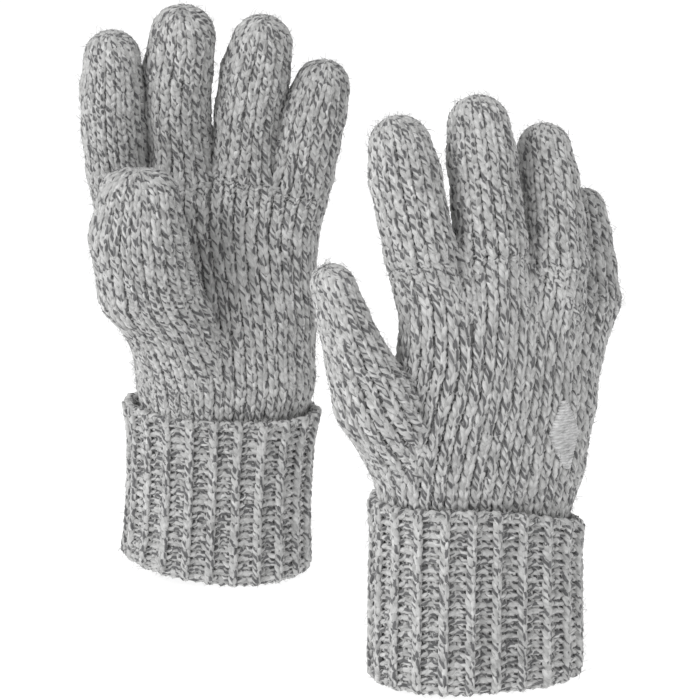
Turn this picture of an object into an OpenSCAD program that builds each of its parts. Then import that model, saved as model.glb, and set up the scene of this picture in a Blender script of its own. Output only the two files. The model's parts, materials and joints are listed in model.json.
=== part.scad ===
// A pair of knitted winter gloves with turned-up ribbed cuffs, standing on their cuffs.
// The left glove shows its palm to -Y, with the thumb folded up in front of it.
// The right glove stands nearer, with the back of its hand to -Y and its little finger turned away.
// Each glove is drawn in its own frame: the middle of its cuff at the origin, fingers up, little finger to +X.

/* [Knitting] */
// Thickness of the knitted wall of the hand and the digits
wall = 3; // [2.4:0.1:3.4]
// Thickness of each ribbed layer at the wrist
rib_wall = 3.4; // [2.6:0.1:3.8]
// Height of one rib above the face of the cuff
rib_rise = 1.2; // [0.6:0.1:1.6]
// Ribs round each cuff
rib_count = 22; // [16:2:26]

/* [Cuff] */
// Height of the turned-up cuff
cuff_height = 75; // [68:1:80]
// Depth of the cuff, front to back
cuff_depth = 54; // [52:1:60]
// Width of the left cuff
left_cuff_width = 82; // [80:1:90]
// Width of the right cuff
right_cuff_width = 84; // [80:1:90]

/* [Digits] */
// Radius of the index and middle fingers
finger_radius = 13.4; // [12:0.1:13.5]
// Radius of the ring fingers
ring_radius = 12.9; // [11.5:0.1:13]
// Radius of the little fingers
little_radius = 12.2; // [11:0.1:12.3]
// Radius of the thumbs at the root
thumb_radius = 15; // [13:0.1:16]

/* [Pair] */
// Distance between the middles of the two cuffs along X
pair_width = 107; // [104:1:140]
// Distance between the middles of the two cuffs along Y
pair_depth = 160; // [140:1:200]
// Turn of the right hand about Z
right_turn = 22; // [15:1:25]

/* [Hidden] */

$fn = 28;
light_grey = [0.70, 0.70, 0.70];
mid_grey = [0.62, 0.62, 0.62];
dark_grey = [0.50, 0.50, 0.50];
pale_grey = [0.84, 0.84, 0.84];

play = 0.6;            // room between a digit and the hand it turns in
gap = 2;               // room beside a finger, where it leaves the hand
fold = 4;              // height of the folded edge that the cuff stands on
overlap = 5;           // how far the cuff stands above the start of the hand
collar = 2;            // height of the hand's straight collar above the cuff
swell = 0.4;           // how far the stretched hand stands out from its collar
palm_radius = 24;      // half the depth of the hand at its middle
knuckle_grow = 4;      // the hand's radius at a knuckle, over the finger's
palm_relief = 10.5;    // the hand's edge below a finger's pivot, on the palm side
back_relief = 3.5;     // the same, on the back
far = 60;              // reach of a cutting box
mouth_lip = 1.7;       // how much narrower a thumb's mouth is than its hollow
motif_rise = 1.2;      // thickness of the embroidered lozenge
motif_line = 2;        // width of its stitched line

// Where the middle of each cuff stands.
left_place = [-54, 82.6, 0];
right_place = left_place + [pair_width, -pair_depth, 0];

// Each finger is [pivot, centre of the tip], in its glove's own frame.
left_index = [[-44, -2, 181], [-47, -20, 233]];
left_middle = [[-17.5, -1, 190], [-16, -17, 243]];
left_ring = [[11, -1, 190], [18.5, -14, 239]];
left_little = [[35.5, -1, 179], [45, -11, 220]];
right_index = [[-24.5, 1, 179], [-30, 14, 221]];
right_middle = [[6, 1, 179], [6.5, 16, 225]];
right_ring = [[34.5, 2, 170], [38, 19, 212]];
right_little = [[56.5, 8, 152], [61, 29, 185]];

// Each thumb is [pivot, middle of the pad, centre of the tip].
left_thumb = [[-25, -27, 119], [-33, -43, 157], [-33.5, -46, 174]];
right_thumb = [[-45, 0, 118], [-52, 3, 141], [-59, 6, 165]];

// The girth of each thumb: [ball at the root, ball at the pad, half the pad's extra width].
left_thumb_size = [thumb_radius, thumb_radius - 2, 5];
right_thumb_size = [thumb_radius - 1, thumb_radius - 4.2, 1];

// The hand between wrist and knuckles, as [x, y, z, radius] of the balls that it is stretched over.
left_palm = [[-19, 0, 112, palm_radius], [18.5, 0, 112, palm_radius]];
right_palm = [[-17, 0, 108, palm_radius], [20, 1, 108, palm_radius], [36, 3, 130, 16]];
left_thenar = [-24, -20, 106, 19];
right_thenar = [-36, 1, 104, 17];

left_fingers = [[left_index, finger_radius], [left_middle, finger_radius],
    [left_ring, ring_radius], [left_little, little_radius]];
right_fingers = [[right_index, finger_radius], [right_middle, finger_radius],
    [right_ring, ring_radius - 0.4], [right_little, little_radius - 1.4]];

// A solid rod from p to q.
module rod(p, q, r) {
    v = q - p;
    translate(p)
        rotate([0, acos(v.z / norm(v)), atan2(v.y, v.x)])
            cylinder(h = norm(v), r = r);
}

// Half the outline of a finger: a ball at the pivot, a straight side and a round tip.
module half_finger(length, r) {
    intersection() {
        union() {
            circle(r);
            translate([0, length]) circle(r);
            translate([-r, 0]) square([2 * r, length]);
        }
        translate([0, -2 * r]) square([2 * r, length + 4 * r]);
    }
}

// A hollow knitted finger from pivot to tip, closed at the tip and open at the root.
module finger(points, r) {
    v = points[1] - points[0];
    inner = r - wall;
    translate(points[0])
        rotate([0, acos(v.z / norm(v)), atan2(v.y, v.x)])
            rotate_extrude()
                difference() {
                    half_finger(norm(v), r);
                    half_finger(norm(v), inner);
                    translate([0, -2 * r]) square([inner, 2 * r]);
                }
}

// The balls that a thumb is stretched over: one at the root, two wide apart at the pad, one at the tip.
module thumb_balls(points, root_r, pad_r, spread) {
    translate(points[0]) sphere(root_r);
    for (side = [-1, 1])
        translate(points[1] + [side * spread, 0, 0]) sphere(pad_r);
    translate(points[2]) sphere(pad_r);
}

// A hollow thumb, closed at the tip and open at the root.
module thumb(points, root_r, pad_r, spread) {
    below = (points[0] - points[1]) * (root_r + 1) / norm(points[0] - points[1]);
    difference() {
        hull() thumb_balls(points, root_r, pad_r, spread);
        hull() thumb_balls(points, root_r - wall, pad_r - wall, spread);
        rod(points[0], points[0] + below, root_r - wall - mouth_lip);
    }
}

// The outline of a cuff or wrist: two half circles joined by straight sides.
module oval(width, depth) {
    r = depth / 2;
    reach = width / 2 - r;
    for (side = [-1, 1])
        translate([side * reach, 0]) circle(r);
    square([2 * reach, depth], center = true);
}

// A band of even thickness along the oval.
module band(width, depth, thickness) {
    difference() {
        oval(width, depth);
        oval(width - 2 * thickness, depth - 2 * thickness);
    }
}

// A point on the oval, at a distance round it from the middle of the front.
function round_oval(width, depth, distance) =
    let (r = depth / 2, reach = width / 2 - r, bend = PI * r, lap = 2 * bend + 4 * reach,
        d = distance % lap)
    d < reach ? [d, -r]
    : d < reach + bend ? [reach + r * sin((d - reach) / r * 180 / PI),
        -r * cos((d - reach) / r * 180 / PI)]
    : d < 3 * reach + bend ? [2 * reach + bend - d, r]
    : d < 3 * reach + 2 * bend ? [-reach - r * sin((d - 3 * reach - bend) / r * 180 / PI),
        r * cos((d - 3 * reach - bend) / r * 180 / PI)]
    : [d - lap, -r];

function oval_lap(width, depth) = PI * depth + 2 * (width - depth);

// The outer ribbed layer, turned up from the folded edge that the glove stands on.
module cuff(width) {
    core_width = width - 2 * rib_rise;
    core_depth = cuff_depth - 2 * rib_rise;
    pitch = oval_lap(core_width, core_depth) / rib_count;
    translate([0, 0, fold])
        linear_extrude(cuff_height - fold) {
            band(core_width, core_depth, rib_wall);
            for (i = [0 : rib_count - 1])
                translate(round_oval(core_width, core_depth, i * pitch))
                    intersection() {
                        circle(rib_rise + 1, $fn = 16);
                        circle(pitch / 3, $fn = 16);
                    }
        }
    linear_extrude(fold)
        band(core_width, core_depth, 2 * rib_wall);
}

// The inner ribbed layer, from the folded edge up to the hand.
module wrist_rib(width) {
    inner_width = width - 2 * (rib_rise + rib_wall);
    inner_depth = cuff_depth - 2 * (rib_rise + rib_wall);
    translate([0, 0, fold])
        linear_extrude(cuff_height - overlap - fold)
            band(inner_width, inner_depth, rib_wall);
}

// The radius of the hand's rounded ends where it leaves the cuff.
function wrist_radius(inset) = cuff_depth / 2 - rib_rise - rib_wall - play / 2 - inset;

// The straight collar of the hand inside the cuff, thinner by inset all round.
module hand_collar(width, inset) {
    lip = inset > 0 ? 1 : 0;
    translate([0, 0, cuff_height - overlap - lip])
        linear_extrude(overlap + collar + lip)
            oval(width - cuff_depth + 2 * wrist_radius(inset), 2 * wrist_radius(inset));
}

// One rounded end of the hand just above the rim of the cuff, at x.
module hand_foot(x, inset) {
    lip = inset > 0 ? 1 : 0;
    translate([x, 0, cuff_height + collar / 2 - lip])
        cylinder(h = collar, r = wrist_radius(inset) + swell);
}

// The stretched shape of the hand, thinner by inset all round.
module hand_shape(width, palm, fingers, inset) {
    reach = (width - cuff_depth) / 2;
    hull() {
        for (side = [-1, 1])
            hand_foot(side * reach, inset);
        for (p = palm)
            translate([p[0], p[1], p[2]]) sphere(p[3] - inset);
        for (f = fingers)
            translate(f[0][0]) sphere(f[1] + knuckle_grow - inset);
    }
}

// The swell at the root of the thumb, thinner by inset all round.
module thenar_shape(width, thenar, inset) {
    reach = (width - cuff_depth) / 2;
    hull() {
        hand_foot(-reach, inset);
        translate([thenar[0], thenar[1], thenar[2]]) sphere(thenar[3] - inset);
    }
}

// The room above and in front of the knuckles that the fingers need as they bend.
module finger_room(fingers, palm_side) {
    for (f = fingers) {
        half = f[1] + gap;
        pivot = f[0][0];
        translate(pivot + [-half, -far, -back_relief])
            cube([2 * half, 2 * far, far]);
        translate(pivot + [-half, palm_side < 0 ? -far : 0, -palm_relief])
            cube([2 * half, far, far]);
    }
    first = fingers[0][0][0];
    last = fingers[3][0][0];
    translate(first + [-far, -far, -palm_relief]) cube([far, 2 * far, far]);
    translate(last + [0, -far, -palm_relief]) cube([far, 2 * far, far]);
}

// The hollow hand of the glove: open at the wrist, at the four knuckles and at the thumb.
module hand(width, palm, thenar, fingers, palm_side) {
    difference() {
        union() {
            hand_collar(width, 0);
            hand_shape(width, palm, fingers, 0);
            thenar_shape(width, thenar, 0);
        }
        hand_collar(width, wall);
        hand_shape(width, palm, fingers, wall);
        thenar_shape(width, thenar, wall);
        finger_room(fingers, palm_side);
        children();
    }
}

module at_left() {
    translate(left_place) children();
}

module at_right() {
    translate(right_place) rotate(right_turn) children();
}

// The room that a thumb needs in the hand as it bends through the angles.
module thumb_room(points, size, palm_side, angles) {
    v = points[2] - points[0];
    axis = -palm_side * [v.z, 0, -v.x];
    hull()
        for (angle = angles)
            translate(points[0])
                rotate(a = angle, v = axis)
                    translate(-points[0])
                        thumb_balls(points, size[0] + play, size[1] + play, size[2]);
}

module left_hand() {
    color(light_grey) at_left()
        hand(left_cuff_width, left_palm, left_thenar, left_fingers, -1)
            thumb_room(left_thumb, left_thumb_size, -1, [0, 14, 40]);
}

module left_thumb() {
    color(mid_grey) at_left()
        thumb(left_thumb, left_thumb_size[0], left_thumb_size[1], left_thumb_size[2]);
}

module left_index_finger() {
    color(mid_grey) at_left() finger(left_index, finger_radius);
}

module left_middle_finger() {
    color(light_grey) at_left() finger(left_middle, finger_radius);
}

module left_ring_finger() {
    color(mid_grey) at_left() finger(left_ring, ring_radius);
}

module left_little_finger() {
    color(light_grey) at_left() finger(left_little, little_radius);
}

module left_wrist_rib() {
    color(dark_grey) at_left() wrist_rib(left_cuff_width);
}

module left_cuff() {
    color(mid_grey) at_left() cuff(left_cuff_width);
}

module right_hand() {
    color(light_grey) at_right()
        hand(right_cuff_width, right_palm, right_thenar, right_fingers, 1)
            thumb_room(right_thumb, right_thumb_size, 1, [-10, 15, 40]);
}

module right_thumb() {
    color(mid_grey) at_right()
        thumb(right_thumb, right_thumb_size[0], right_thumb_size[1], right_thumb_size[2]);
}

module right_index_finger() {
    color(mid_grey) at_right() finger(right_index, finger_radius);
}

module right_middle_finger() {
    color(light_grey) at_right() finger(right_middle, finger_radius);
}

module right_ring_finger() {
    color(mid_grey) at_right() finger(right_ring, right_fingers[2][1]);
}

module right_little_finger() {
    color(light_grey) at_right() finger(right_little, right_fingers[3][1]);
}

module right_wrist_rib() {
    color(dark_grey) at_right() wrist_rib(right_cuff_width);
}

module right_cuff() {
    color(mid_grey) at_right() cuff(right_cuff_width);
}

// A plain embroidered lozenge on the back of the right hand.
module right_motif() {
    color(pale_grey) at_right()
        translate([30, -23.5, 104])
            rotate([90, 0, 12])
                linear_extrude(motif_rise)
                    difference() {
                        scale([0.6, 1]) rotate(45) square(20, center = true);
                        scale([0.6, 1]) rotate(45) square(20 - 2 * motif_line, center = true);
                    }
}

left_hand();
left_thumb();
left_index_finger();
left_middle_finger();
left_ring_finger();
left_little_finger();
left_wrist_rib();
left_cuff();
right_hand();
right_thumb();
right_index_finger();
right_middle_finger();
right_ring_finger();
right_little_finger();
right_wrist_rib();
right_cuff();
right_motif();
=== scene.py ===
"""A pair of chunky knitted gloves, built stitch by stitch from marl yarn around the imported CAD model.

Shapes are worked out in millimetres in each glove's own frame: the middle of its cuff at the origin,
fingers up, thumb towards -X. The glove's outer surface is a distance field of tapered rods. Rays are
cast from inside it, wale by wale and course by course, and each stitch is a loop of yarn laid on it.
"""

import json
import math

import bpy
import numpy as np
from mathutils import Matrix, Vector


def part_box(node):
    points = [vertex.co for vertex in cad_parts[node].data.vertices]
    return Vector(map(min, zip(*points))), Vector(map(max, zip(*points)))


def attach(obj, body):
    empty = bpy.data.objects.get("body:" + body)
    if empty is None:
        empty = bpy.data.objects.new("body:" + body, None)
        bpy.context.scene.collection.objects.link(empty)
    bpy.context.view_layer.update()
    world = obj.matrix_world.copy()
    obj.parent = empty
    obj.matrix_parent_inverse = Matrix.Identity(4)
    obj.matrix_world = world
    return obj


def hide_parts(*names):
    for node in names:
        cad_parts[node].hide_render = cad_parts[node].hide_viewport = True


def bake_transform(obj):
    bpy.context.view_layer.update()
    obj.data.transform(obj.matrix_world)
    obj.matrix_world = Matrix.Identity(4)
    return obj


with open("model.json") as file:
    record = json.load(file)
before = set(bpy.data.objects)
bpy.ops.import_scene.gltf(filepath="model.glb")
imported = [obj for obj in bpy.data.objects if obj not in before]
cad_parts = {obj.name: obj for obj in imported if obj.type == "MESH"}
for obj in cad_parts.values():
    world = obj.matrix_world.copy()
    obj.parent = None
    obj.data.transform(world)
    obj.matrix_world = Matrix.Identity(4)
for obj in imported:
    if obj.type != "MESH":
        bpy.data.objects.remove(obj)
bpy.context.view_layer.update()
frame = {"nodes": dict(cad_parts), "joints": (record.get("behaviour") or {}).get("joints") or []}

MM = 0.001

# The knit, in millimetres
COURSE = 3.45  # height of one row of stitches
YARN = 1.25  # radius of the yarn
RELIEF = 0.75  # how far a loop swings in and out of the fabric
SINK = YARN + RELIEF  # depth of the middle of the fabric below its outer surface
BACKING_DEPTH = SINK + 0.9
BACKING = 1.1  # thickness of the backing behind the stitches
OVERLAP = 1.6  # how far hand and thumb stitches run on past the line where they meet
CREASE_OVERLAP = 2.0  # how much further both run on inside the crease, higher up
WIDEST_STITCH = 8.5  # a thumb stitch stretched wider than this over the palm is left out
FLOOR_GAP = 0.2  # nothing hangs lower than this: the cuffs rest on the floor
WIDEST_GAP = 2.6  # a longer step from one stitch to the next is cut
UNEVEN = (0.05, 0.07, 0.12)  # spread of a stitch across in wales, up in courses, and in depth as a share
FIBRE = 0.09  # radius of a loose fibre
FIBRE_STEPS = 4  # straight lengths in one
FIBRE_REACH = (1.5, 4.5)  # how far one runs
FIBRE_RISE = (0.2, 0.75)  # how much of that it stands off the yarn
FIBRE_CURL = 0.5
FUZZ = 1.3  # loose fibres for each stitch
CUFF_FUZZ = 0.9
RINGS = 12  # rings of vertices along one stitch
SIDES = 6  # sides of the yarn
HAND_WALES = 44
HAND_BOTTOM = 66  # where the hand starts, inside the cuff
HAND_LEAN = 5  # the higher, the later the hand's wales lean over to their fingers
SIDE_ROWS = 7  # how many rows lower a finger starts on a side that faces another finger
THUMB_BACKING_ROW = 4  # the thumb's backing starts this many rows up
FEWEST_WALES = 4  # in the last row of a tip
HALVED, QUARTERED = 0.6, 0.25  # at these shares of a tip's full girth its rows have half and a quarter
POLE_GAP = 0.03  # how far short of a tip's pole the rows stop, in radians
EDGE = 0.02  # and how far short of the last row's end, in rows
CM = 10  # the yarn's own map runs in centimetres
YARN_RUN = 400  # each length of yarn starts somewhere within this

# One stitch of stockinette from the gap beside it to its middle: across in wales, up in courses, out in
# millimetres. The other half is its mirror image.
STOCKINETTE = [(0.0, -1.05, -0.6), (0.19, -0.98, -0.5), (0.41, -0.62, 0.05), (0.4, -0.1, 0.65),
               (0.27, 0.42, 0.75), (0.19, 0.8, 0.25), (0.3, 1.06, -0.5), (0.5, 1.1, -0.9)]
LEAN = -0.04  # the spin of the yarn makes one leg of each stitch steeper than the other

# Wales that each finger takes from the front of the hand, and as many again from the back
STRIPS = {"index": 6, "middle": 5, "ring": 5, "little": 6}

# Each hand between wrist and knuckles: under each finger's pivot, a row of balls (x, y, z, radius)
PALMS = {
    "left": {
        "index": [(-12, 0, 66, 20), (-13, 0, 88, 23), (-19, 0, 115, 21), (-37.5, -1, 150, 15)],
        "middle": [(-4, 0, 66, 21), (-4, 0, 88, 24.5), (-7, 0, 112, 23), (-12, 2, 140, 16),
                   (-16.5, 0, 158, 16)],
        "ring": [(5, 0, 66, 21), (7, 0, 88, 24.5), (10, 0, 115, 23.5), (9.5, 0, 158, 16)],
        "little": [(14, 0, 66, 20), (18, 0, 88, 22.5), (20, 0, 115, 21.5), (27, 0, 148, 14.8),
                   (32, 0, 168, 14)],
    },
    "right": {
        "index": [(-15, 0, 66, 20), (-18.5, 0, 80, 22.5), (-15, 0, 115, 21.5), (-17.5, 0, 150, 15)],
        "middle": [(-4, 0, 66, 21), (-4, 0, 88, 24.5), (-1, 0, 115, 23.5), (5, 0, 152, 16)],
        "ring": [(6, 0, 66, 21), (9, 0, 88, 24.5), (15, 2, 115, 23), (29, 3, 144, 16)],
        "little": [(17, 0, 66, 21), (24, 1, 90, 22.5), (32, 4, 112, 20.5), (44, 8, 131, 14)],
    },
}

# Each thumb from the wrist to its tip. Its section is two such balls, `pair` apart.
THUMBS = {
    "left": {"line": [(-12, -4, 66, 17.5), (-16, -15, 98, 16), (-22.5, -26, 119.5, 14.5),
                      (-30.3, -33, 134, 16.3), (-34, -44, 160, 15.5), (-33.5, -48, 178, 12)],
             "pair": (11, 0, 0), "wales": 22},
    "right": {"line": [(-13, 0, 72, 19), (-28, 0, 98, 18.5), (-43.5, 0, 118.6, 16),
                       (-49.6, 2, 133, 12.3), (-56.5, 4, 153.5, 9.3), (-60, 6, 167.5, 8)],
              "pair": (0, 8, 0), "wales": 18},
}

# Each finger: how much plumper than the CAD finger at root, middle, pad and tip, how far it is moved
# sideways at root, middle and tip, how much shorter it is, and its wales
FINGERS = {
    "left": {"index": ((0.6, 0.6, 0.3, -1.1), (0, -0.3, 1.6), 1.8, 18),
             "middle": ((1.2, 1.2, 1.5, 0.9), (0, -1.6, 0.6), 1.4, 18),
             "ring": ((1.9, 1.9, 2.1, 0.5), (0, -1.2, 0), 1.8, 18),
             "little": ((1.8, 2.0, 1.6, 0.0), (-0.5, -1.5, -0.8), 1.8, 17)},
    "right": {"index": ((1.2, 0.9, 1.3, -0.4), (0, 0.4, 1.6), 1.8, 18),
              "middle": ((1.8, 1.0, 0.9, -0.4), (0, 0.3, 0.4), 0.2, 18),
              "ring": ((2.0, 1.0, 0.2, -1.2), (-0.4, 0.2, -0.8), 0.2, 18),
              "little": ((0.8, 0.6, -0.2, -1.2), (-2.2, -2.0, -1.6), 1.8, 15)},
}
FINGER_STEPS = (0.0, 0.36, 0.72, 1.0)  # where those four are, between pivot and tip

# Where the hand's stitches give way to a finger's, from its pivot
CROTCH = {"left": {"index": -8, "middle": -10, "ring": -10, "little": -6},
          "right": {"index": -6, "middle": -6, "ring": -5, "little": -2}}
TURN = {"left": 0.0, "right": 22.0}  # degrees about Z
PALM_SIDE = {"left": -1, "right": 1}  # the palm faces -Y or +Y
KNUCKLE = {"left": 178, "right": 180}  # height where the fingers part
SLOPE = {"left": 0.0, "right": 0.45}  # and how fast it falls towards the little finger
SLOPE_END = 50  # as far out as this
CREASE = {"left": (112, 132), "right": (108, 128)}  # heights between which the thumb leaves the palm
WEB = {"left": (12, 7), "right": (6, 6)}  # how broadly the two run together at those heights
SEAM_SHIFT = {"left": 4.0, "right": 4.5}  # how far hand stitches run on over the thumb's root
PARTING = 30  # sets hand and thumb apart, so that each is cast without the other
ROD_BLEND = 2  # how broadly the rods of one digit run together
THUMB_BLEND = ((90, 120), (2, 6))  # and the two halves of the thumb, at these heights
RAY_BLEND = ((-78, -45, -18, -6, 6), (6, 8, 14, 12, 1))  # and the fingers' rows, above KNUCKLE
FINGER_BEND = 20.0  # length along a finger from its first row, given as the end of a bend that is not made
THUMB_BEND_END = 0.7  # a point this far from the thumb's fourth ball to its fifth is given as the end of a bend that is not made

rng = np.random.default_rng(7)


def place_in_scene(thing):
    bpy.context.scene.collection.objects.link(thing)
    return thing


# -------------------- distance fields

def cone_distance(p, a, b):
    """Distance from points to a tapered rod with round ends; a and b are (x, y, z, radius)."""
    a3, b3, ra, rb = a[:3], b[:3], a[3], b[3]
    axis = b3 - a3
    length2 = axis @ axis
    taper = ra - rb
    a2 = length2 - taper * taper
    pa = p - a3
    y = pa @ axis
    z = y - length2
    side = pa * length2 - axis * y[..., None]
    x2 = np.einsum("...i,...i->...", side, side)
    y2 = y * y * length2
    z2 = z * z * length2
    k = np.sign(taper) * taper * taper * x2
    middle = (np.sqrt(x2 * a2 / length2) + y * taper) / length2 - ra
    past_b = np.sqrt(x2 + z2) / length2 - rb
    past_a = np.sqrt(x2 + y2) / length2 - ra
    return np.where(np.sign(z) * a2 * z2 > k, past_b,
                    np.where(np.sign(y) * a2 * y2 < k, past_a, middle))


def smooth_min(a, b, k):
    """The smaller of two distances, with the crease between them filled over a width k."""
    h = np.maximum(k - np.abs(a - b), 0) / k
    return np.minimum(a, b) - h * h * k / 4


def joined(distances, k):
    """Several distances made into one by smooth_min, in their order."""
    total = None
    for d in distances:
        total = d if total is None else smooth_min(total, d, k)
    return total


def chain_distance(p, balls):
    """Distance to the rods that join a row of balls."""
    return joined((cone_distance(p, a, b) for a, b in zip(balls[:-1], balls[1:])), ROD_BLEND)


def unit(v):
    return v / np.maximum(np.linalg.norm(v, axis=-1, keepdims=True), 1e-9)


def cast(origin, direction, distance, steps=26):
    """Walks from inside a distance field along each direction to its surface."""
    shape = origin.shape
    o, d = origin.reshape(-1, 3), direction.reshape(-1, 3)
    t = np.zeros(len(o))
    for _ in range(steps):
        t += np.maximum(-distance(o + d * t[:, None]), 0)
    return (o + d * t[:, None]).reshape(shape)


def outward(p, distance, step=0.8):
    """The direction straight out of the surface at each point."""
    shape = p.shape
    q = p.reshape(-1, 3)
    total = np.zeros_like(q)
    for corner in ((1, -1, -1), (-1, -1, 1), (-1, 1, -1), (1, 1, 1)):
        e = np.array(corner, float)
        total += e * distance(q + e * step)[:, None]
    return unit(total).reshape(shape)


def spline(points, t):
    """A smooth curve through points, read at t from 0 to the number of spans."""
    points = np.asarray(points, float)
    slopes = np.gradient(points, axis=0)
    i = np.clip(np.floor(t).astype(int), 0, len(points) - 2)
    f = (t - i)[..., None]
    p, q, m, n = points[i], points[i + 1], slopes[i], slopes[i + 1]
    return ((2 * f**3 - 3 * f**2 + 1) * p + (f**3 - 2 * f**2 + f) * m
            + (3 * f**2 - 2 * f**3) * q + (f**3 - f**2) * n)


# -------------------- the shape of a glove

X_AXIS = np.array([1.0, 0.0, 0.0])


def ring_axes(along):
    """The two directions across a tube: the first near +X, the second a quarter turn on."""
    first = unit(X_AXIS - (along @ X_AXIS)[..., None] * along)
    return first, np.cross(along, first)


def oval_ray(turns, left, right, radius):
    """The middle and outward direction of a ray of an oval, turns once round from -X by the front."""
    span = right - left
    quarter = math.pi * radius / 2
    lap = 2 * span + 4 * quarter
    d = np.mod(turns, 1.0) * lap
    front = np.clip((d - quarter) / span, 0, 1)
    back = np.clip((d - 3 * quarter - span) / span, 0, 1)
    bend = (np.clip(d, 0, quarter) + np.clip(d - quarter - span, 0, 2 * quarter)
            + np.clip(d - 3 * quarter - 2 * span, 0, quarter)) / radius
    x = left + span * (front - back)
    angle = math.pi + bend
    zero = np.zeros_like(x)
    return (np.stack([x, zero, zero], -1), np.stack([np.cos(angle), np.sin(angle), zero], -1))


class Digit:
    """A tube with a closed tip. At a distance s along it, at(s) is its middle and axes(s) gives the
    directions along and across it. Its rows begin at self.start."""

    def measure(self, start, length, tip_radius):
        self.start, self.length, self.tip_radius = start, length, tip_radius
        self.reach = length - start + tip_radius * math.pi / 2
        self.rows = round(self.reach / COURSE)

    def rays(self, turns, v):
        """turns once round from the side nearest +X by the back; v in courses from the first row."""
        s = self.start + v * self.reach / self.rows
        along, across, over = self.axes(s)
        tilt = np.clip((s - self.length) / self.tip_radius, 0, math.pi / 2 - POLE_GAP)[..., None]
        angle = (turns * 2 * math.pi)[..., None]
        flat = np.cos(angle) * across + np.sin(angle) * over
        return self.at(np.minimum(s, self.length)), np.cos(tilt) * flat + np.sin(tilt) * along

    def wales_at(self, row):
        """How many stitches a row has: fewer over the tip, where the rows close."""
        s = self.start + (row + 0.5) * self.reach / self.rows
        ring = math.cos(max(0.0, (s - self.length) / self.tip_radius))
        fewer = 1 if ring > HALVED else 2 if ring > QUARTERED else 4
        return max(FEWEST_WALES, round(self.wales / fewer))


class Finger(Digit):
    """A finger's line from pivot to tip, with its girth, in its glove's own frame."""

    def __init__(self, glove, digit):
        swell, self.shift, tuck, self.wales = FINGERS[glove.side][digit]
        hinge = f"{glove.side}_{digit}_bend"
        self.pivot = glove.local(next(j["pos_m"] for j in frame["joints"] if j["name"] == hinge))
        points = glove.local(node_points(f"{glove.side}_{digit}_finger"))
        tip = points[np.argmax(np.linalg.norm(points - self.pivot, axis=1))]
        self.along = unit(tip - self.pivot)
        self.across, self.over = ring_axes(self.along)
        girth = np.linalg.norm(np.cross(points - self.pivot, self.along), axis=1).max()
        radii = girth + np.array(swell)
        length = np.linalg.norm(tip - self.pivot) - tuck - radii[-1]
        self.measure(CROTCH[glove.side][digit], length, radii[-1])
        self.balls = np.column_stack([self.at(np.array(FINGER_STEPS) * length), radii])

    def at(self, s):
        f = np.clip(s / self.length, 0, None)
        root, middle, tip = self.shift
        sideways = root * (1 - f) * (1 - 2 * f) + middle * 4 * f * (1 - f) + tip * f * (2 * f - 1)
        return self.pivot + self.along * s[..., None] + X_AXIS * sideways[..., None]

    def axes(self, s):
        return self.along, self.across, self.over

    def from_root(self, s):
        """The middle of the finger this far beyond its first row."""
        return self.at(np.array(self.start + float(s)))


class Thumb(Digit):
    """A thumb's line from the wrist to its tip. Its section is two balls side by side."""

    GROW = (0, 0.5, 1, 1, 1, 1)  # how far apart the two are at each ball of its line
    DOME = 2  # how much rounder its tip is than its last ball
    NEAR = 4  # its direction is taken between points this far before and after

    def __init__(self, side):
        shape = THUMBS[side]
        self.balls = np.array(shape["line"], float)
        self.wales = shape["wales"]
        offset = np.zeros_like(self.balls)
        offset[:, :3] = np.array(self.GROW, float)[:, None] * np.array(shape["pair"]) / 2
        self.chains = (self.balls - offset, self.balls + offset)
        self.samples = spline(self.balls, np.linspace(0, len(self.balls) - 1, 200))
        steps = np.linalg.norm(np.diff(self.samples[:, :3], axis=0), axis=1)
        self.marks = np.concatenate([[0], np.cumsum(steps)])
        self.measure(0, self.marks[-1], self.balls[-1, 3] + self.DOME)

    def at(self, s):
        s = np.clip(s, 0, self.length)
        return np.stack([np.interp(s, self.marks, self.samples[:, i]) for i in range(3)], -1)

    def axes(self, s):
        low = np.clip(s - self.NEAR, 0, self.length - 1.5 * self.NEAR)
        high = np.clip(s + self.NEAR, 1.5 * self.NEAR, self.length)
        along = unit(self.at(high) - self.at(low))
        return (along, *ring_axes(along))


def node_points(node):
    """The vertices of a CAD node."""
    vertices = frame["nodes"][node].data.vertices
    points = np.zeros(len(vertices) * 3)
    vertices.foreach_get("co", points)
    return points.reshape(-1, 3)


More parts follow.
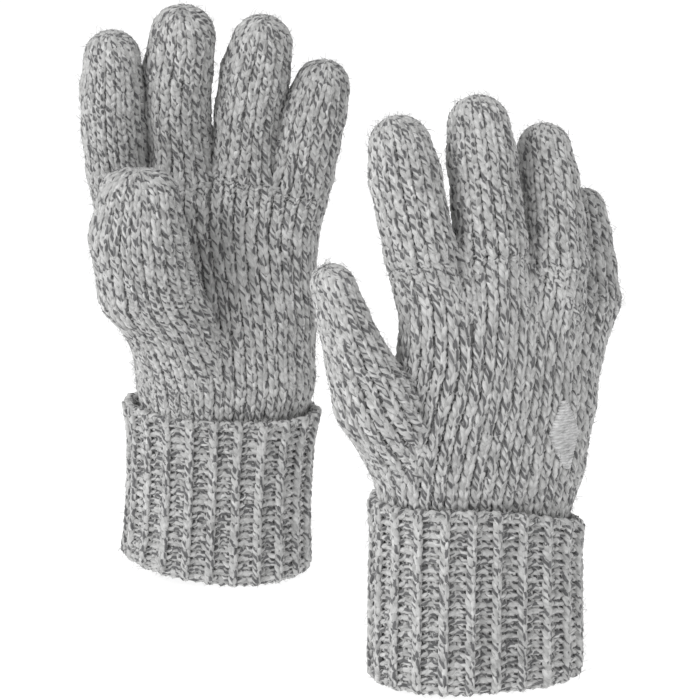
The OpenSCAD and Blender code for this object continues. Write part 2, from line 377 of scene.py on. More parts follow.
class Glove:
    """One glove: its place, its surface, and the rays that its hand is cast along."""

    def __init__(self, side):
        self.side = side
        low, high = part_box(f"{side}_cuff")
        self.place = np.array([(low.x + high.x) / 2, (low.y + high.y) / 2, 0]) / MM
        turn = math.radians(TURN[side])
        self.spin = np.array([[math.cos(turn), -math.sin(turn), 0],
                              [math.sin(turn), math.cos(turn), 0], [0, 0, 1]])
        self.fingers = {digit: Finger(self, digit) for digit in STRIPS}
        self.thumb = Thumb(side)
        self.lines = {digit: np.vstack([np.array(PALMS[side][digit], float), finger.balls])
                      for digit, finger in self.fingers.items()}
        top = np.mean([finger.from_root(0)[2] for finger in self.fingers.values()])
        self.hand_rows = round((top - HAND_BOTTOM) / COURSE)
        self.top = self.top_rays()

    def local(self, points):
        """World metres to this glove's millimetres."""
        return (np.asarray(points) / MM - self.place) @ self.spin

    def world(self, points):
        return (np.asarray(points) @ self.spin.T + self.place) * MM

    def finger_distance(self, p, skip=None):
        """The hand's rods with no blend between the fingers, and without the finger to skip."""
        return np.min([chain_distance(p, line) for digit, line in self.lines.items() if digit != skip],
                      axis=0)

    def hand_distance(self, p):
        """The hand with its fingers: broad and flat at the palm, and creased between the knuckles."""
        knuckle = KNUCKLE[self.side] - SLOPE[self.side] * np.clip(p[..., 0], 0, SLOPE_END)
        width = np.interp(p[..., 2] - knuckle, *RAY_BLEND)
        return joined((chain_distance(p, line) for line in self.lines.values()), width)

    def crease_fill(self, p):
        """How far the smooth surface of the hand lies outside its plain rods, as a negative distance."""
        return self.hand_distance(p) - self.finger_distance(p)

    def thumb_distance(self, p):
        return joined((chain_distance(p, chain) for chain in self.thumb.chains),
                      np.interp(p[..., 2], *THUMB_BLEND))

    def apart(self, p):
        """0 where the thumb's root is one with the palm, rising to 1 where it has left it."""
        low, high = CREASE[self.side]
        t = np.clip((p[..., 2] - low) / (high - low), 0, 1)
        return t * t * (3 - 2 * t)

    def seen(self, own, other, p):
        """The surface under one's own stitches: the other is left out where the two are apart."""
        web = np.interp(p[..., 2], CREASE[self.side], WEB[self.side])
        return smooth_min(own(p), other(p) + PARTING * self.apart(p), web)

    def seen_from_hand(self, p):
        return self.seen(self.hand_distance, self.thumb_distance, p)

    def seen_from_thumb(self, p):
        return self.seen(self.thumb_distance, self.hand_distance, p)

    def top_rays(self):
        """For both edges of each wale of the hand, its ray into its finger: middle, then direction."""
        rows = []
        for front in (True, False):
            for digit, count in STRIPS.items() if front else reversed(STRIPS.items()):
                finger = self.fingers[digit]
                if digit == "index":
                    first = finger.wales / 2 - (0 if front else count)
                elif digit == "little":
                    first = -count if front else 0
                else:
                    first = finger.wales * (0.75 if front else 0.25) - count / 2
                for k in range(count):
                    turns = (first + k + np.array([0.0, 1.0])) / finger.wales
                    rows.append(np.hstack(finger.rays(turns, np.zeros(2))))
        return np.array(rows)

    def in_strip(self, digit, wale):
        """Whether the hand's own stitches carry on into these wales of a finger."""
        count, wales = STRIPS[digit], self.fingers[digit].wales
        if digit == "index":
            return np.abs(wale + 0.5 - wales / 2) < count
        if digit == "little":
            return np.abs((wale + 0.5 + wales / 2) % wales - wales / 2) < count
        return np.abs((wale + 0.5) % (wales / 2) - wales / 4) < count / 2

    def hand_rays(self, u, v):
        """u in wales from the thumb side by the front; v in courses from inside the cuff.

        Low down the wales are spread evenly round an oval that widens with the palm. Higher up each one
        leans over to its own finger."""
        wale = np.floor(u).astype(int)
        f = (u - wale)[..., None]
        edges = self.top[wale % HAND_WALES]
        top = (1 - f) * edges[..., 0, :] + f * edges[..., 1, :]
        s = v / self.hand_rows
        z = HAND_BOTTOM + s * (top[..., 2] - HAND_BOTTOM)
        thumb_side, far_side = self.lines["index"], self.lines["little"]
        left = np.interp(z, thumb_side[:, 2], thumb_side[:, 0])
        right = np.interp(z, far_side[:, 2], far_side[:, 0])
        radius = np.interp(z, far_side[:, 2], far_side[:, 3])
        middle, direction = oval_ray(u / HAND_WALES, left, right, radius)
        share = (middle[..., 0] - left) / (right - left)
        middle[..., 1] = share * np.interp(z, far_side[:, 2], far_side[:, 1])
        middle[..., 2] = z
        to_top = (np.clip(s, 0, None) ** HAND_LEAN)[..., None]
        return (middle + to_top * (top[..., :3] - middle),
                unit(direction + to_top * (top[..., 3:] - direction)))


# -------------------- the cuffs

CUFF = {
    # half widths at rim, waist and fold; how far the fold leans over, and its thumb end and far end are
    # lifted; how far the rim is raised at its middle, slopes up to the far side, and bends up
    "left": {"half": (41.8, 39.8, 41.5), "lean": -3.0, "lift": (8.0, 2.0), "rim": (0.5, -2.2, 1.2)},
    "right": {"half": (43.6, 44.5, 45.0), "lean": 0.0, "lift": (2.0, 0.0), "rim": (2.0, -6.5, -4.5)},
}
CUFF_WALES = 44  # knit and purl by turns, so half as many ribs
CUFF_HALF_DEPTH = 28.2
CUFF_HALF_WIDTH = 40.0  # before each cuff is stretched to its own widths
RIM_ROLL = 2.2  # the free edge rolls inwards with this radius
RIM_FLARE = 1.2  # how far it stands off the hand
FLARE_LENGTH = 12  # over this length of cuff
LIFT_START = 0.2  # where the lift of the thumb end begins, in half widths from the middle
RIB = 0.9  # how far a knit rib stands out, and a purl one lies in
RIB_WIDTH = 5.1
RIB_YARN = 1.42  # radius of the slacker yarn of the ribs
RIB_STITCH = [(0.0, -1.0, 0.0), (0.2, -0.98, -0.45), (0.38, -0.7, 0.05), (0.4, -0.1, 0.7),
              (0.3, 0.42, 0.75), (0.22, 0.8, 0.25), (0.3, 1.04, -0.45), (0.5, 1.08, -0.8)]
FOLD_RADIUS = 4.2
CUFF_COURSE = 3.4
INNER_TOP = 69  # where the inner layer ends, inside the hand

MOTIF_HALF_WIDTH = 7
MOTIF_TIP = 0.6  # half width of its first and last rows
MOTIF_PITCH = 1.05  # distance between two rows of its thread
MOTIF_THREAD = 0.66  # radius of the thread


class Cuff:
    """The ribbed band, from its rolled edge down to the fold that the glove stands on, and up inside."""

    def __init__(self, glove):
        self.shape = CUFF[glove.side]
        low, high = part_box(f"{glove.side}_cuff")
        self.height = (high.z - low.z) / MM
        self.roll = math.pi * RIM_ROLL
        self.fold = math.pi * FOLD_RADIUS
        self.outer = self.height - RIM_ROLL - FOLD_RADIUS
        length = self.roll + self.outer + self.fold
        self.outer_rows = round(length / CUFF_COURSE)
        self.course = length / self.outer_rows
        self.inner_rows = round((INNER_TOP - FOLD_RADIUS) / self.course)

    def surface(self, u, v):
        """u in wales from the thumb side by the front, v in courses from the end of the rolled edge."""
        s = v * self.course - self.roll
        roll = np.clip(-s / RIM_ROLL, 0, math.pi)
        bend = np.clip((s - self.outer) / FOLD_RADIUS, 0, math.pi)
        z = np.where(s < 0, self.height - RIM_ROLL * (1 - np.sin(roll)), self.height - RIM_ROLL - s)
        inner = np.maximum(s - self.outer - self.fold, 0)
        z = np.where(s < self.outer, z, FOLD_RADIUS * (1 - np.sin(bend)) + inner)
        inset = FOLD_RADIUS * (1 - np.cos(bend)) + RIM_ROLL * (1 - np.cos(roll))
        flat = np.cos(bend) * np.cos(roll)
        height = z / self.height
        rim, waist, fold = self.shape["half"]
        half = (rim * height * (2 * height - 1) + waist * 4 * height * (1 - height)
                + fold * (1 - height) * (1 - 2 * height))
        flare = RIM_FLARE * np.clip(1 - s / FLARE_LENGTH, 0, 1)
        straight = CUFF_HALF_WIDTH - CUFF_HALF_DEPTH
        middle, direction = oval_ray(u / CUFF_WALES, -straight, straight, CUFF_HALF_DEPTH)
        wave = math.pi * (u - 0.5)
        ripple = RIB * np.cos(wave)
        slope = RIB * math.pi * np.sin(wave) / RIB_WIDTH
        sideways = np.stack([-direction[..., 1], direction[..., 0], np.zeros_like(u)], -1)
        p = middle + direction * (CUFF_HALF_DEPTH - inset + flare + ripple * flat)[..., None]
        p[..., 0] = p[..., 0] * half / CUFF_HALF_WIDTH + self.shape["lean"] * (1 - height)
        side = p[..., 0] / CUFF_HALF_WIDTH
        near, far = self.shape["lift"]
        lift = (near * np.clip((LIFT_START - side) / (LIFT_START + 1), 0, 1) ** 1.5
                + far * np.clip(side, 0, 1) ** 2)
        raised, slope_up, bent_up = self.shape["rim"]
        rim_rise = raised + slope_up * side + bent_up * side * side
        p[..., 2] = z + lift * (1 - height) + rim_rise * height
        normal = (flat[..., None] * unit(direction + sideways * slope[..., None])
                  + (np.sin(roll) - np.sin(bend))[..., None] * np.array([0, 0, 1.0]))
        return p, unit(normal)


# -------------------- yarn

def stitch_curve(half, purl=False):
    """One whole stitch at even steps along its yarn, as across, up and out; and the yarn's length."""
    half = np.array(half)
    other = half[-2::-1] * (-1, 1, 1) + (1, 0, 0)
    points = np.vstack([half, other])
    if purl:
        points[:, 2] *= -1
    fine = spline(points, np.linspace(0, len(points) - 1, 300))
    fine[:, 0] += LEAN * fine[:, 1] * np.sin(math.pi * np.clip(fine[:, 0], 0, 1))
    steps = np.linalg.norm(np.diff(fine * (RIB_WIDTH, COURSE, 1), axis=0), axis=1)
    marks = np.concatenate([[0], np.cumsum(steps)])
    even = np.linspace(0, marks[-1], RINGS + 1)
    return np.stack([np.interp(even, marks, fine[:, i]) for i in range(3)], -1), marks[-1]


class Knit:
    """The stitches of one patch: where each ring of its yarn is, and which stitch follows which."""

    def __init__(self, rows, wales_at, full_wales, surface, curves, down=False, tip=False, yarn=YARN):
        across, up, out, follow, lengths, offsets = [], [], [], [], [], []
        count = 0
        for row in range(rows):
            wales = wales_at(row)
            scale = full_wales / wales
            start = rng.uniform(0, YARN_RUN)
            for j in range(wales):
                curve, length = curves[j % len(curves)]
                across.append((j + curve[:, 0]) * scale)
                up.append(row + 0.5 + (-curve[:, 1] if down else curve[:, 1]))
                out.append(curve[:, 2])
                follow.append(count + (j + 1) % wales)
                lengths.append(length)
                offsets.append(start + j * length)
            count += wales
        u, v, out = np.array(across), np.array(up), np.array(out)
        window = np.sin(math.pi * np.linspace(0, 1, RINGS + 1))
        u = u + window * rng.normal(0, UNEVEN[0], (count, 1))
        v = v + window * rng.normal(0, UNEVEN[1], (count, 1))
        if tip:
            v = np.minimum(v, rows - EDGE)
        out = out * (1 + window * rng.normal(0, UNEVEN[2], (count, 1)))
        self.follow = np.array(follow)
        self.lengths, self.offsets = np.array(lengths), np.array(offsets)
        skin, self.normals = surface(u, v)
        self.points = skin + self.normals * (out - SINK)[..., None]
        self.radii = yarn * (0.9 + 0.12 * out / RELIEF)  # a little thinner where it dips
        self.middles = (skin[:, RINGS // 4] + skin[:, 3 * RINGS // 4]) / 2
        self.kept = np.ones(count, bool)

    def part_where_wide(self):
        """Ends the yarn where the next stitch is across a crease between two fingers."""
        gap = np.linalg.norm(self.points[self.follow, 0] - self.points[:, RINGS - 1], axis=1)
        wide = gap > WIDEST_GAP
        self.follow[wide] = -1
        self.points[wide, RINGS] = 2 * self.points[wide, RINGS - 1] - self.points[wide, RINGS - 2]


class Pile:
    """Vertices and faces gathered for one piece."""

    def __init__(self):
        self.points, self.faces, self.maps, self.atlas, self.slots = [], [], [], [], []
        self.first = self.count = 0

    def add(self, points, faces, maps, atlas, slot=0):
        """New points with their first faces, which count from the first of them."""
        self.points.append(points)
        self.first = self.count
        self.count += len(points)
        self.add_faces(faces, maps, atlas, slot)

    def add_faces(self, faces, maps, atlas, slot=0):
        """More faces of the last points. faces is (n, corners); maps and atlas are (n, corners, 2)."""
        self.faces.append(faces + self.first)
        self.maps.append(maps)
        self.atlas.append(atlas)
        self.slots.append(np.full(len(faces), slot))

    def build(self, name, glove, materials):
        points = glove.world(np.vstack(self.points))
        points[:, 2] = np.maximum(points[:, 2], FLOOR_GAP * MM)
        mesh = bpy.data.meshes.new(name)
        sizes = np.concatenate([np.full(len(f), f.shape[1]) for f in self.faces])
        corners = np.concatenate([f.ravel() for f in self.faces])
        mesh.vertices.add(len(points))
        mesh.vertices.foreach_set("co", points.ravel().astype(np.float32))
        mesh.loops.add(len(corners))
        mesh.loops.foreach_set("vertex_index", corners.astype(np.int32))
        mesh.polygons.add(len(sizes))
        starts = np.concatenate([[0], np.cumsum(sizes)[:-1]])
        mesh.polygons.foreach_set("loop_start", starts.astype(np.int32))
        mesh.polygons.foreach_set("material_index", np.concatenate(self.slots).astype(np.int32))
        mesh.update(calc_edges=True)
        for layer, parts in (("yarn", self.maps), ("OFBake", self.atlas)):
            uv = mesh.uv_layers.new(name=layer)
            values = np.concatenate([part.reshape(-1, 2) for part in parts])
            uv.data.foreach_set("uv", values.ravel().astype(np.float32))
        mesh.shade_smooth()
        for material in materials:
            mesh.materials.append(material)
        return place_in_scene(bpy.data.objects.new(name, mesh))


ATLAS_MARGIN = 0.08  # share of an atlas cell kept free on each side


def atlas_corner(cell, cells, x, y):
    """A corner of one cell of a square atlas; x and y are 0 to 1 inside the cell."""
    side = math.ceil(math.sqrt(cells))
    inner = 1 - 2 * ATLAS_MARGIN
    return np.stack([(cell % side + ATLAS_MARGIN + inner * x) / side,
                     (cell // side + ATLAS_MARGIN + inner * y) / side], -1)


def whole_cell(count, cell, cells):
    """Corners for four-sided faces that each cover the whole of one cell."""
    square = np.broadcast_to(np.array([(0, 0), (1, 0), (1, 1), (0, 1)], float), (count, 4, 2))
    return atlas_corner(np.full((count, 4), cell), cells, square[..., 0], square[..., 1])


def cell_middle(cell, cells, shape):
    """Corners for small end caps, all at the middle of their cell."""
    return atlas_corner(np.broadcast_to(cell, shape), cells, 0.5, 0.5)


def add_yarn(pile, knit, cells):
    """Sweeps the yarn of the kept stitches as tubes, closed where a row goes all round."""
    kept = np.flatnonzero(knit.kept)
    number = np.full(len(knit.kept), -1)
    number[kept] = np.arange(len(kept))
    following = np.where(knit.follow[kept] < 0, -1, number[knit.follow[kept]])
    ends = np.flatnonzero(following < 0)
    has_before = np.zeros(len(kept), bool)
    has_before[following[following >= 0]] = True

    points, normals = knit.points[kept], knit.normals[kept]
    along = unit(np.gradient(points, axis=1, edge_order=2))
    out = unit(normals - np.sum(normals * along, -1, keepdims=True) * along)
    beside = np.cross(along, out)
    angle = 2 * math.pi * np.arange(SIDES) / SIDES
    ring = (-np.cos(angle)[:, None] * out[:, :, None] + np.sin(angle)[:, None] * beside[:, :, None])
    rings = points[:, :, None] + ring * knit.radii[kept][:, :, None, None]

    body = rings[:, :RINGS].reshape(-1, 3)
    closing = rings[ends, RINGS].reshape(-1, 3)
    ring_of = np.arange(len(kept))[:, None] * RINGS + np.arange(RINGS + 1)
    ring_of[:, RINGS] = np.where(following >= 0, following * RINGS, 0)
    ring_of[ends, RINGS] = len(kept) * RINGS + np.arange(len(ends))

    near, far = ring_of[:, :-1, None] * SIDES, ring_of[:, 1:, None] * SIDES
    a, b = np.arange(SIDES), (np.arange(SIDES) + 1) % SIDES
    faces = np.stack([near + a, far + a, far + b, near + b], -1).reshape(-1, 4)

    step = np.arange(RINGS)
    around = np.stack([a, a, a + 1, a + 1], -1) / SIDES
    along_01 = np.stack([step, step + 1, step + 1, step], -1) / RINGS
    shape = (len(kept), RINGS, SIDES, 4)
    x = np.broadcast_to(around[None, None], shape)
    y = np.broadcast_to(along_01[None, :, None], shape)
    run = knit.offsets[kept][:, None, None, None] + y * knit.lengths[kept][:, None, None, None]
    maps = np.stack([x, run / CM], -1).reshape(-1, 4, 2)
    cell = np.arange(len(kept))[:, None, None, None]
    atlas = atlas_corner(np.broadcast_to(cell, shape), cells, x, y).reshape(-1, 4, 2)
    pile.add(np.vstack([body, closing]), faces, maps, atlas)

    starts = np.flatnonzero(~has_before)
    for who, ring_at, corners in ((starts, ring_of[starts, 0], a), (ends, ring_of[ends, RINGS], a[::-1])):
        caps = ring_at[:, None] * SIDES + corners
        maps = np.zeros((len(caps), SIDES, 2))
        maps[..., 1] = knit.offsets[kept][who][:, None] / CM
        pile.add_faces(caps, maps, cell_middle(who[:, None], cells, caps.shape))


class Threads:
    """Runs of thread that each have two ends, in the same form as the stitches of a knit."""

    def __init__(self, points, normals, radius):
        self.points, self.normals = points, normals
        self.radii = np.full(points.shape[:2], radius)
        self.follow = np.full(len(points), -1)
        self.lengths = np.linalg.norm(np.diff(points, axis=1), axis=2).sum(axis=1)
        self.offsets = rng.uniform(0, YARN_RUN, len(points))
        self.kept = np.ones(len(points), bool)


def add_fuzz(pile, knit, share, cells, cell):
    """Loose fibres standing off the yarn: thin closed threads with three sides."""
    pick = rng.choice(np.flatnonzero(knit.kept), int(knit.kept.sum() * share))
    at = rng.integers(2, RINGS - 2, len(pick))
    out = knit.normals[pick, at]
    root = knit.points[pick, at] + out * (knit.radii[pick, at] * 0.6)[:, None]
    side = unit(np.cross(out, rng.normal(size=out.shape)))
    curl = np.cross(out, side) * rng.normal(0, FIBRE_CURL, (len(pick), 1))
    reach = rng.uniform(*FIBRE_REACH, (len(pick), 1))
    rise = rng.uniform(*FIBRE_RISE, (len(pick), 1))
    t = np.linspace(0, 1, FIBRE_STEPS + 1)[:, None]
    points = (root[:, None] + (side * reach)[:, None] * t + (curl * reach)[:, None] * t * t
              + (out * rise * reach + out)[:, None] * t * (1.6 - 0.8 * t))
    along = unit(np.gradient(points, axis=1))
    first = unit(np.cross(along, out[:, None]))
    second = np.cross(along, first)
    angle = 2 * math.pi * np.arange(3) / 3
    ring = np.cos(angle)[:, None] * first[:, :, None] + np.sin(angle)[:, None] * second[:, :, None]
    width = FIBRE * (1 - 0.6 * t[:, :, None])
    rings = points[:, :, None] + ring * width
    base = np.arange(len(pick))[:, None, None] * 3 * (FIBRE_STEPS + 1)
    near = base + np.arange(FIBRE_STEPS)[:, None] * 3
    a, b = np.arange(3), (np.arange(3) + 1) % 3
    quads = np.stack([near + a, near + b, near + b + 3, near + a + 3], -1).reshape(-1, 4)
    caps = np.vstack([base[:, 0] + a[::-1], base[:, 0] + a + 3 * FIBRE_STEPS])
    maps = rng.uniform(0, YARN_RUN / CM, (len(pick), 1, 1, 1)) + np.zeros((1, 3 * FIBRE_STEPS, 4, 2))
    pile.add(rings.reshape(-1, 3), quads, maps.reshape(-1, 4, 2), whole_cell(len(quads), cell, cells))
    pile.add_faces(caps, np.zeros((len(caps), 3, 2)), cell_middle(cell, cells, (len(caps), 3)))


def add_backing(pile, surface, rows, wales, cells, cell):
    """The inside of the fabric: a closed double layer behind the stitches, so no gap shows through."""
    v, u = np.meshgrid(np.arange(rows + 1.0), np.arange(float(wales)), indexing="ij")
    skin, normals = surface(u, np.clip(v, EDGE, rows - EDGE))
    layers = np.vstack([(skin - normals * BACKING_DEPTH).reshape(-1, 3),
                        (skin - normals * (BACKING_DEPTH + BACKING)).reshape(-1, 3)])
    index = np.arange((rows + 1) * wales).reshape(rows + 1, wales)
    beside = np.roll(index, -1, axis=1)
    below = len(layers) // 2
    quads = np.stack([index[:-1], beside[:-1], beside[1:], index[1:]], -1).reshape(-1, 4)
    first = np.stack([beside[0], index[0], index[0] + below, beside[0] + below], -1)
    last = np.stack([index[-1], beside[-1], beside[-1] + below, index[-1] + below], -1)
    faces = np.vstack([quads, quads[:, ::-1] + below, first, last])
    # slot 1 is the dark inside material: painted shade seen through the gaps between stitches
    pile.add(layers, faces, layers[faces][..., [0, 2]] / CM, whole_cell(len(faces), cell, cells), slot=1)


# -------------------- materials

def shader(name, roughness, sheen):
    """A material, its node tree and its shader."""
    material = bpy.data.materials.new(name)
    material.use_nodes = True
    tree = material.node_tree
    principled = tree.nodes["Principled BSDF"]
    principled.inputs["Roughness"].default_value = roughness
    principled.inputs["Specular IOR Level"].default_value = 0.15
    principled.inputs["Sheen Weight"].default_value = sheen
    principled.inputs["Sheen Roughness"].default_value = 0.6
    return material, tree, principled


def node(tree, kind, settings=None, **inputs):
    """Adds a node. An input is a value, or a socket to link from, and _3= is input number 3."""
    made = tree.nodes.new(kind)
    for key, value in (settings or {}).items():
        setattr(made, key, value)
    for key, value in inputs.items():
        socket = made.inputs[int(key[1:]) if key[0] == "_" else key]
        if isinstance(value, bpy.types.NodeSocket):
            tree.links.new(value, socket)
        else:
            socket.default_value = value
    return made


def mix(tree, share, first, second):
    return node(tree, "ShaderNodeMix", {"data_type": "RGBA"}, _0=share, _6=first, _7=second).outputs[2]


# The marl yarn. Lengths along it are in centimetres; across it they are shares of a ply.
PLIES = 3  # strands that cross the yarn in one turn of its twist
TWIST = 1.5  # length of that turn
WOBBLE = 0.7  # how unevenly it is twisted
DARK_WIDTH = 0.34  # half width of a dark ply
FRAY = 0.35  # how ragged its edge is
EDGE_SOFTNESS = (-0.08, 0.13)
APPEARING = 0.07  # how gradually it comes and goes
FIBRE_TONE, MOTTLE_TONE, BROAD_TONE = 0.6, 1.7, 0.22  # how much each varies the colour
BUMP = 0.0007  # metres
PALE = (0.52, 0.52, 0.515, 1)
DARK = (0.135, 0.135, 0.138, 1)


def marl_material(name, pale, dark, share):
    """Two-tone yarn: a dark strand twisted into a pale one, coming and going along its length."""
    material, tree, principled = shader(name, 0.9, 0.25)

    def maths(operation, a, b=0.0, c=0.0):
        return node(tree, "ShaderNodeMath", {"operation": operation}, _0=a, _1=b, _2=c).outputs[0]

    def smooth_step(value, low, high):
        return node(tree, "ShaderNodeMapRange", {"interpolation_type": "SMOOTHSTEP"},
                    Value=value, _1=low, _2=high).outputs[0]

    def noise(settings=None, **inputs):
        return node(tree, "ShaderNodeTexNoise", settings, **inputs).outputs[0]

    def yarn_noise(ply, ply_scale, along_scale, seed, **inputs):
        """Noise laid out along the plies."""
        place = node(tree, "ShaderNodeCombineXYZ", X=maths("MULTIPLY", ply, ply_scale),
                     Y=maths("MULTIPLY", along, along_scale), Z=seed).outputs[0]
        return noise(Vector=place, Scale=1.0, **inputs)

    def varied(value, amount, base):
        return maths("MULTIPLY_ADD", maths("SUBTRACT", value, 0.5), amount, base)

    uv = node(tree, "ShaderNodeUVMap", {"uv_map": "yarn"}).outputs[0]
    around, along = node(tree, "ShaderNodeSeparateXYZ", Vector=uv).outputs[:2]
    wobble = noise({"noise_dimensions": "1D"}, W=along, Scale=2.3, Detail=1.0)
    turned = maths("MULTIPLY_ADD", around, float(PLIES), maths("MULTIPLY", along, -PLIES / TWIST))
    turned = maths("MULTIPLY_ADD", wobble, WOBBLE, turned)
    across = maths("ABSOLUTE", maths("SUBTRACT", maths("FRACT", turned), 0.5))

    patch = yarn_noise(maths("FLOOR", turned), 7.31, 1.3, 0.0, Detail=1.5)
    present = smooth_step(patch, share, share + APPEARING)
    edge = maths("SUBTRACT", maths("MULTIPLY_ADD", present, DARK_WIDTH, -0.02), across)
    fibre = yarn_noise(turned, 6.0, 3.5, 0.0, Detail=3.0, Roughness=0.65)
    dark_here = smooth_step(varied(fibre, FRAY, edge), *EDGE_SOFTNESS)

    mottle = yarn_noise(turned, 0.8, 2.4, 5.0, Detail=2.0)
    position = node(tree, "ShaderNodeTexCoord").outputs["Object"]
    broad = noise(Vector=position, Scale=55.0, Detail=2.0)
    tone = varied(broad, BROAD_TONE, varied(fibre, FIBRE_TONE, varied(mottle, MOTTLE_TONE, 1.0)))
    colour = node(tree, "ShaderNodeVectorMath", {"operation": "SCALE"},
                  _0=mix(tree, dark_here, pale, dark), _3=tone).outputs[0]
    tree.links.new(colour, principled.inputs["Base Color"])
    ridge = maths("MULTIPLY_ADD", across, -1.0, maths("MULTIPLY", fibre, 0.9))
    relief = node(tree, "ShaderNodeBump", Height=ridge, Strength=0.5, Distance=BUMP).outputs[0]
    tree.links.new(relief, principled.inputs["Normal"])
    return material


def backing_material():
    """The inside of the fabric in dark greys: painted shade behind the stitches."""
    material, tree, principled = shader("painted_shade_yarn", 1.0, 0.0)
    position = node(tree, "ShaderNodeTexCoord").outputs["Object"]
    grain = node(tree, "ShaderNodeTexNoise", Vector=position, Scale=500.0, Detail=3.0).outputs[0]
    # dark and darker grey with a fine random grain: painted shade, not the yarn's own colour
    tone = mix(tree, grain, (0.16, 0.16, 0.16, 1), (0.36, 0.36, 0.36, 1))
    tree.links.new(tone, principled.inputs["Base Color"])
    return material


marl = marl_material("marl_yarn", PALE, DARK, 0.47)
ribbed_marl = marl_material("ribbed_marl_yarn", PALE, DARK, 0.46)
# the dark inside material: painted shade
inside = backing_material()
thread = marl_material("embroidery_yarn", (0.6, 0.6, 0.6, 1), (0.5, 0.5, 0.5, 1), 0.6)


# -------------------- the pieces

plain = [stitch_curve(STOCKINETTE)]
rib = [stitch_curve(RIB_STITCH), stitch_curve(RIB_STITCH, purl=True)]


def on_surface(rays, distance):
    """The points and normals where rays meet a surface, as a function of wales and courses."""
    def surface(u, v):
        origin, direction = rays(u, v)
        p = cast(origin, direction, distance)
        return p, outward(p, distance)
    return surface


def make_piece(name, glove, knit, backing, material, fuzz=FUZZ):
    """backing is (surface, rows, wales), or nothing. Each stitch has its own cell of the atlas."""
    pile = Pile()
    stitches = int(knit.kept.sum())
    cells = stitches + (1 if backing else 0) + 1
    add_yarn(pile, knit, cells)
    if backing:
        add_backing(pile, *backing, cells, stitches)
    if fuzz:
        add_fuzz(pile, knit, fuzz, cells, cells - 1)
    piece = pile.build(name, glove, (material, inside))
    return piece


def blend_digit(piece, glove, node_name, start, end):
    """Fixes a digit's piece in place and hides the digit's CAD node. It bends nothing: start and end are
    only turned into world points.
    """
    glove.world(start)
    glove.world(end)
    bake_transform(piece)
    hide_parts(node_name)


def finger_piece(glove, digit):
    finger = glove.fingers[digit]
    name = f"{glove.side}_{digit}_finger"
    surface = on_surface(lambda u, v: finger.rays(u / finger.wales, v - SIDE_ROWS),
                         lambda p: chain_distance(p, glove.lines[digit]) + glove.crease_fill(p))
    knit = Knit(finger.rows + SIDE_ROWS, lambda row: finger.wales_at(row - SIDE_ROWS), finger.wales,
                surface, plain, tip=True)
    knit.kept = glove.finger_distance(knit.middles, skip=digit) > -OVERLAP
    low = SIDE_ROWS * finger.wales
    knit.kept[:low] &= ~glove.in_strip(digit, np.arange(low) % finger.wales)
    piece = make_piece(f"{name}_knit", glove, knit,
                       (lambda u, v: surface(u, v + SIDE_ROWS), finger.rows, finger.wales),
                       marl)
    blend_digit(piece, glove, name, finger.from_root(0), finger.from_root(FINGER_BEND))


def thumb_piece(glove):
    thumb = glove.thumb
    name = f"{glove.side}_thumb"
    surface = on_surface(lambda u, v: thumb.rays(u / thumb.wales, v), glove.seen_from_thumb)
    knit = Knit(thumb.rows, thumb.wales_at, thumb.wales, surface, plain, tip=True)
    apart = glove.apart(knit.middles)
    overlap = OVERLAP - SEAM_SHIFT[glove.side] * (1 - apart) + CREASE_OVERLAP * apart
    knit.kept = glove.thumb_distance(knit.middles) < glove.hand_distance(knit.middles) + overlap
    width = np.linalg.norm(knit.points[:, RINGS] - knit.points[:, 0], axis=1)
    knit.kept &= (width < WIDEST_STITCH) | (apart > 0.5)
    shell = on_surface(lambda u, v: thumb.rays(u / thumb.wales, np.maximum(v, THUMB_BACKING_ROW)),
                       glove.thumb_distance)
    piece = make_piece(f"{name}_knit", glove, knit, (shell, thumb.rows, thumb.wales), marl)
    balls = thumb.balls[:, :3]
    blend_digit(piece, glove, name, balls[2],
                balls[3] * (1 - THUMB_BEND_END) + balls[4] * THUMB_BEND_END)


def hand_pieces(glove):
    surface = on_surface(glove.hand_rays, glove.seen_from_hand)
    knit = Knit(glove.hand_rows, lambda row: HAND_WALES, HAND_WALES, surface, plain)
    knit.part_where_wide()
    apart = glove.apart(knit.middles)
    overlap = OVERLAP + SEAM_SHIFT[glove.side] * (1 - apart) + CREASE_OVERLAP * apart
    kept = glove.hand_distance(knit.middles) < glove.thumb_distance(knit.middles) + overlap
    shell = on_surface(glove.hand_rays, glove.hand_distance)
    front = np.arange(len(kept)) % HAND_WALES < HAND_WALES // 2
    names = ("palm", "back") if PALM_SIDE[glove.side] < 0 else ("back", "palm")
    for name, part in zip(names, (front, ~front)):
        knit.kept = kept & part
        backing = (shell, glove.hand_rows, HAND_WALES) if name == names[1] else None
        piece = make_piece(f"{glove.side}_{name}_knit", glove, knit, backing, marl)
        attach(piece, f"{glove.side}_hand_body")
        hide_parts(f"{glove.side}_hand")


def cuff_pieces(glove):
    cuff = Cuff(glove)

    def inner_surface(u, v):
        return cuff.surface(u, v + cuff.outer_rows)

    outer = ("cuff", "cuff", cuff.surface, cuff.outer_rows, CUFF_FUZZ)
    inner = ("wrist", "wrist_rib", inner_surface, cuff.inner_rows, FUZZ)
    for name, node_name, surface, rows, fuzz in (outer, inner):
        knit = Knit(rows, lambda row: CUFF_WALES, CUFF_WALES, surface, rib, down=True, yarn=RIB_YARN)
        piece = make_piece(f"{glove.side}_{name}_knit", glove, knit, (surface, rows, CUFF_WALES),
                           ribbed_marl, fuzz)
        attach(piece, f"{glove.side}_hand_body")
        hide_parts(f"{glove.side}_{node_name}")


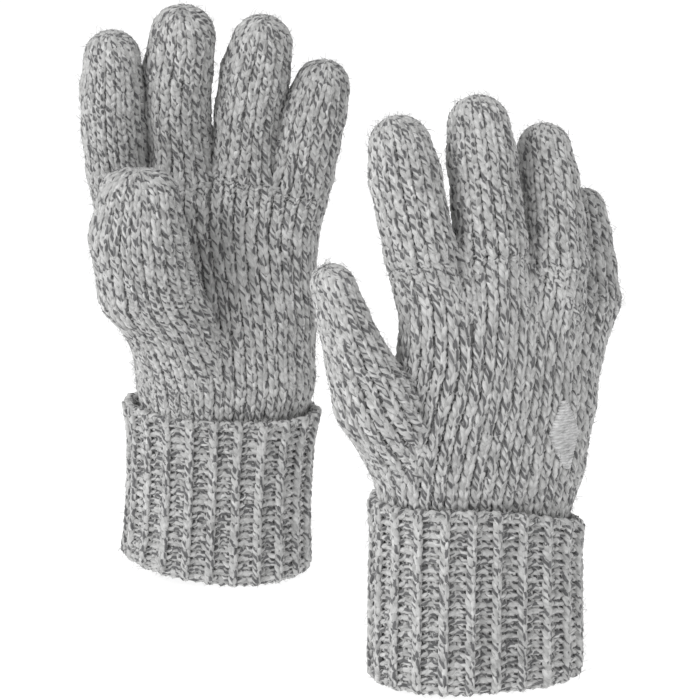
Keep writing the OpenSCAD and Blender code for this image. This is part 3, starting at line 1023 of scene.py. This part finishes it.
def motif_piece(glove):
    """A plain lozenge on the back of the right hand, worked in rows of pale thread."""
    low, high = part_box("right_motif")
    middle = glove.local(np.array([(low.x + high.x) / 2, (low.y + high.y) / 2, (low.z + high.z) / 2]))
    tall = (high.z - low.z) / MM / 2
    heights = np.arange(-tall + 1, tall - 0.9, MOTIF_PITCH)
    half = MOTIF_HALF_WIDTH * (1 - np.abs(heights) / tall) + MOTIF_TIP
    across = middle[0] + half[:, None] * np.linspace(-1, 1, RINGS + 1)
    up = np.repeat((middle[2] + heights)[:, None], RINGS + 1, axis=1)
    origin = np.stack([across, np.zeros_like(across), up], -1)
    skin = cast(origin, np.broadcast_to([0.0, -1.0, 0.0], origin.shape), glove.seen_from_hand)
    normals = outward(skin, glove.seen_from_hand, 3)
    arch = 0.9 - 1.6 * np.linspace(-1, 1, RINGS + 1) ** 8
    rows = Threads(skin + normals * arch[:, None], normals, MOTIF_THREAD)
    piece = make_piece("right_motif_stitches", glove, rows, None, thread, fuzz=0)
    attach(piece, "right_hand_body")
    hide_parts("right_motif")


gloves = [Glove(side) for side in ("left", "right")]
for glove in gloves:
    hand_pieces(glove)
    thumb_piece(glove)
    for digit in STRIPS:
        finger_piece(glove, digit)
    cuff_pieces(glove)
motif_piece(gloves[1])


# -------------------- camera, floor and light

LENS = 252  # millimetres, on a sensor 36 wide
CAMERA_PLACE = (0.0018, -1.9954, 0.580)
CAMERA_DOWN = 13  # degrees below level
KEY_PLACE, KEY_TARGET = (-1.5, -1.4, 1.5), (0, 0, 0.12)
FLOOR_HALF = 6
WHITE = (1, 1, 1, 1)

camera_data = bpy.data.cameras.new("camera")
camera_data.lens = LENS
camera_data.sensor_width = 36
camera_data.clip_end = 20
camera = place_in_scene(bpy.data.objects.new("camera", camera_data))
camera.location = CAMERA_PLACE
camera.rotation_euler = (math.radians(90 - CAMERA_DOWN), 0, 0)
bpy.context.scene.camera = camera

floor_mesh = bpy.data.meshes.new("floor")
floor_corners = [(x * FLOOR_HALF, y * FLOOR_HALF, 0) for x, y in ((-1, -1), (1, -1), (1, 1), (-1, 1))]
floor_mesh.from_pydata(floor_corners, [], [(0, 1, 2, 3)])
floor = place_in_scene(bpy.data.objects.new("floor", floor_mesh))
floor_material, _, floor_shader = shader("floor", 0.9, 0.0)
floor_shader.inputs["Base Color"].default_value = (0.25, 0.25, 0.25, 1)
floor_shader.inputs["Emission Color"].default_value = WHITE
floor_shader.inputs["Emission Strength"].default_value = 0.9
floor_mesh.materials.append(floor_material)

world = bpy.data.worlds.new("studio")
bpy.context.scene.world = world
world.use_nodes = True
background = world.node_tree.nodes["Background"]
background.inputs["Color"].default_value = WHITE
background.inputs["Strength"].default_value = 0.68

key_data = bpy.data.lights.new("key_light", "AREA")
key_data.shape = "DISK"
key_data.size = 1.0
key_data.energy = 27
key_light = place_in_scene(bpy.data.objects.new("key_light", key_data))
key_light.location = KEY_PLACE
key_light.rotation_euler = (Vector(KEY_TARGET) - Vector(KEY_PLACE)).to_track_quat("-Z", "Y").to_euler()
bpy.context.scene.view_settings.view_transform = "Standard"
